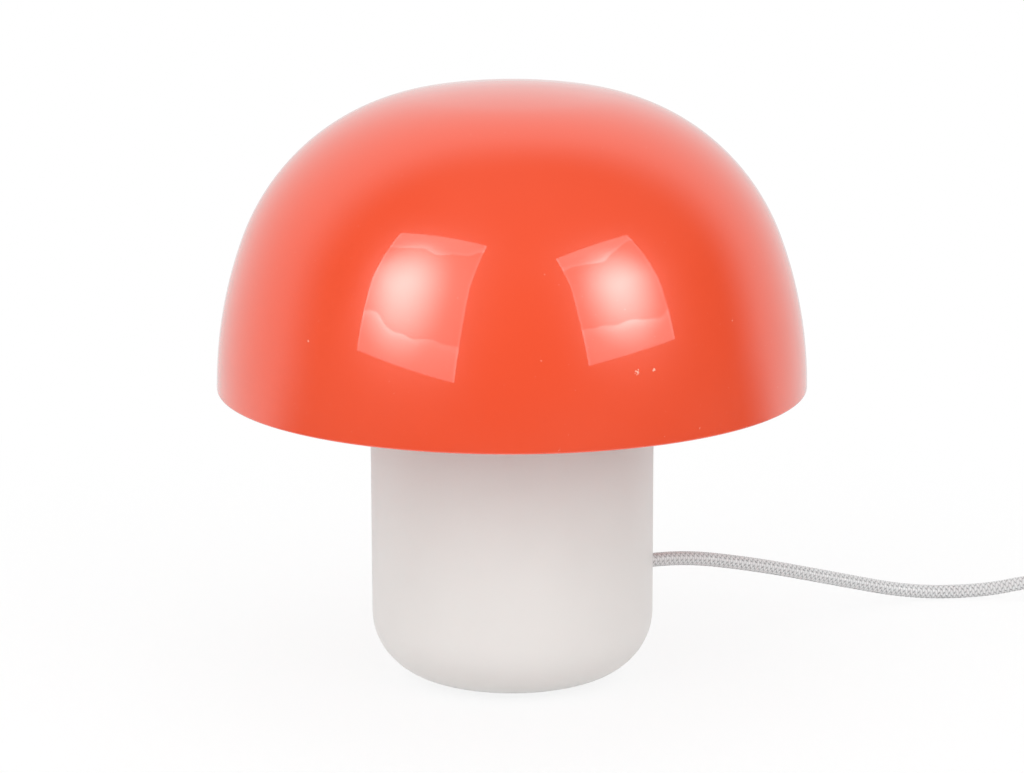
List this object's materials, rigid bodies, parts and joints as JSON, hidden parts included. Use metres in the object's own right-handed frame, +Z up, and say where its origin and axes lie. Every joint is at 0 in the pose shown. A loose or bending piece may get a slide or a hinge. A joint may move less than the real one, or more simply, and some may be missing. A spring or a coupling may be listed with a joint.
{
  "type": "table lamp",
  "caption": "Dome-shaded table lamp on a rounded cylindrical base, with a lift-off shade, a globe bulb and a woven mains cord with an inline rocker switch and plug.",
  "frame": {"origin": "centre of the base's underside, on the table", "axes": "+Z up along the lamp's axis, front towards -Y, +X to the right"},
  "size_m": [0.5497, 0.25, 0.2548],
  "materials": {
    "shade_lacquer": "clear-coated orange lacquer on spun steel",
    "base_enamel": "satin white powder coat on drawn steel",
    "foot_pad": "matt foam rubber",
    "ballast_iron": "as cast, oiled",
    "zinc_steel": "zinc-plated steel",
    "holder_plastic": "white thermoset plastic",
    "holder_ceramic": "unglazed white ceramic",
    "contact_brass": "plain brass",
    "carrier_steel": "satin white powder coat on welded steel rod",
    "tip_rubber": "translucent white rubber",
    "bulb_nickel": "nickel-coloured thin sheet",
    "bulb_black": "black insulator",
    "bulb_plastic": "white plastic",
    "bulb_opal": "opal diffuser",
    "cord_plastic": "white moulded plastic",
    "cord_textile": "shiny pale grey woven cover",
    "wire_cover": "core insulation",
    "pin_brass": "nickel-plated brass",
    "pin_cover": "black insulating collar"
  },
  "bodies": {
    "lamp": {"base_shell": "base_enamel", "underside_pad": "foot_pad", "ballast_weight": "ballast_iron", "ballast_stud": "zinc_steel", "ballast_washer": "zinc_steel", "ballast_nut": "zinc_steel", "dish_brackets": "zinc_steel", "top_dish": "base_enamel", "dish_screws": "zinc_steel", "threaded_nipple": "zinc_steel", "nipple_washer": "zinc_steel", "nipple_nut": "zinc_steel", "holder_cap": "holder_plastic", "holder_insert": "holder_ceramic", "screw_shell": "contact_brass", "centre_contact": "contact_brass", "holder_skirt": "holder_plastic", "ring_nut": "holder_plastic", "shade_carrier": "carrier_steel", "carrier_tips": "tip_rubber", "cord_bush": "cord_plastic", "bush_nut": "cord_plastic", "inner_lead": "cord_textile", "core_wires": "wire_cover", "cord_to_switch": "cord_textile", "switch_sleeves": "cord_plastic", "switch_base": "cord_plastic", "switch_cover": "cord_plastic", "switch_screws": "zinc_steel", "cord_to_coil": "cord_textile", "cord_coil": "cord_textile", "cord_to_plug": "cord_textile", "plug_sleeve": "cord_plastic", "plug_body": "cord_plastic", "plug_pins": "pin_brass", "pin_covers": "pin_cover"},
    "shade": {"shade": "shade_lacquer"},
    "bulb": {"bulb_cap": "bulb_nickel", "bulb_insulator": "bulb_black", "bulb_contact": "contact_brass", "bulb_collar": "bulb_plastic", "bulb_globe": "bulb_opal"},
    "rocker": {"switch_rocker": "cord_plastic"}
  },
  "joints": [
    {"name": "shade_lift", "type": "slide", "parent": "lamp", "child": "shade", "axis": [0, 0, 1], "range_m": [0, 0.15]},
    {"name": "bulb_out", "type": "slide", "parent": "lamp", "child": "bulb", "axis": [0, 0, 1], "range_m": [0, 0.022]},
    {"name": "rocker_tilt", "type": "hinge", "parent": "lamp", "child": "rocker", "pos_m": [0.3015, 0.108, 0.0122], "axis": [0, 1, 0], "range_deg": [0, 14]}
  ]
}
